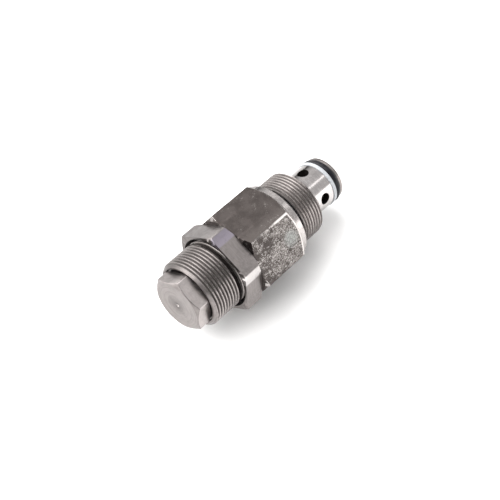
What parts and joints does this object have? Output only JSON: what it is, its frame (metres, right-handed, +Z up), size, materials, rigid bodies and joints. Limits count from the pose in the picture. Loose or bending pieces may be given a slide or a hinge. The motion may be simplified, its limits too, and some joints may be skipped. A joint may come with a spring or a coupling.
{
  "type": "screw-in hydraulic cartridge relief valve",
  "caption": "Screw-in hydraulic cartridge valve: ported nose with seal rings, threaded hexagon body, lock nut on a fine-threaded adjusting sleeve and a small hexagon end plug.",
  "frame": {"origin": "bottom centre of the bounding box at rest, under the valve axis and level with the lock nut's lowest corner", "axes": "+X along the valve axis towards the nose that enters the manifold, +Z up, with one flat pair of the body hexagon level"},
  "size_m": [0.0904, 0.041, 0.0391],
  "materials": {
    "scaled_steel": "dark brown-grey scale with scuffed, speckled patches",
    "ground_steel": "ground and polished",
    "turned_steel": "fine turned",
    "thread_steel": "machined thread, satin",
    "plug_steel": "turned satin",
    "nut_steel": "satin with light machining marks",
    "spring_steel": "drawn wire, oiled",
    "jet_brass": "turned brass",
    "seal_rubber": "black nitrile rubber with a thin oil film",
    "ptfe": "white PTFE with a cold tint"
  },
  "bodies": {
    "valve_body": {"valve_body": "scaled_steel", "nose_sleeve": "ground_steel", "nose_backup_ring": "ptfe", "nose_o_ring": "seal_rubber", "nose_sleeve_o_ring": "seal_rubber", "shoulder_o_ring": "seal_rubber", "main_seat": "ground_steel", "main_spring": "spring_steel", "pilot_seat": "ground_steel", "pilot_seat_o_ring": "seal_rubber"},
    "main_spool": {"main_spool": "ground_steel", "orifice_screw": "jet_brass"},
    "pilot_poppet": {"pilot_poppet": "ground_steel"},
    "spring_seat": {"spring_seat": "turned_steel", "spring_seat_o_ring": "seal_rubber", "pilot_spring": "spring_steel"},
    "adjuster": {"adjusting_sleeve": "thread_steel", "adjusting_sleeve_o_ring": "seal_rubber", "end_plug": "plug_steel", "end_plug_o_ring": "seal_rubber"},
    "lock_nut_carrier": {"lock_nut_seal": "seal_rubber"},
    "lock_nut": {"lock_nut": "nut_steel"}
  },
  "joints": [
    {"name": "main_spool_lift", "type": "slide", "parent": "valve_body", "child": "main_spool", "axis": [-1, 0, 0], "range_m": [0, 0.003], "stiffness_N_per_m": 600, "springref_m": -0.002, "deforming": ["main_spring"]},
    {"name": "pilot_poppet_lift", "type": "slide", "parent": "valve_body", "child": "pilot_poppet", "axis": [-1, 0, 0], "range_m": [0, 0.0012], "stiffness_N_per_m": 600, "springref_m": -0.001, "deforming": ["pilot_spring"]},
    {"name": "adjuster_travel", "type": "slide", "parent": "valve_body", "child": "spring_seat", "axis": [1, 0, 0], "range_m": [-0.00302, 0.00182], "deforming": ["pilot_spring"]},
    {"name": "adjuster_turn", "type": "hinge", "parent": "spring_seat", "child": "adjuster", "pos_m": [-0.02, 0, 0.01957], "axis": [1, 0, 0], "range_deg": [-720, 432]},
    {"name": "lock_nut_travel", "type": "slide", "parent": "valve_body", "child": "lock_nut_carrier", "axis": [1, 0, 0], "range_m": [-0.01464, 0.0001]},
    {"name": "lock_nut_turn", "type": "hinge", "parent": "lock_nut_carrier", "child": "lock_nut", "pos_m": [-0.02, 0, 0.01957], "axis": [1, 0, 0], "range_deg": [-3510, 0]}
  ],
  "couplings": [
    {"joint": "adjuster_travel", "follows": "adjuster_turn", "m_per_rad": 0.00023873},
    {"joint": "lock_nut_travel", "follows": "lock_nut_turn", "m_per_rad": 0.00023873}
  ]
}
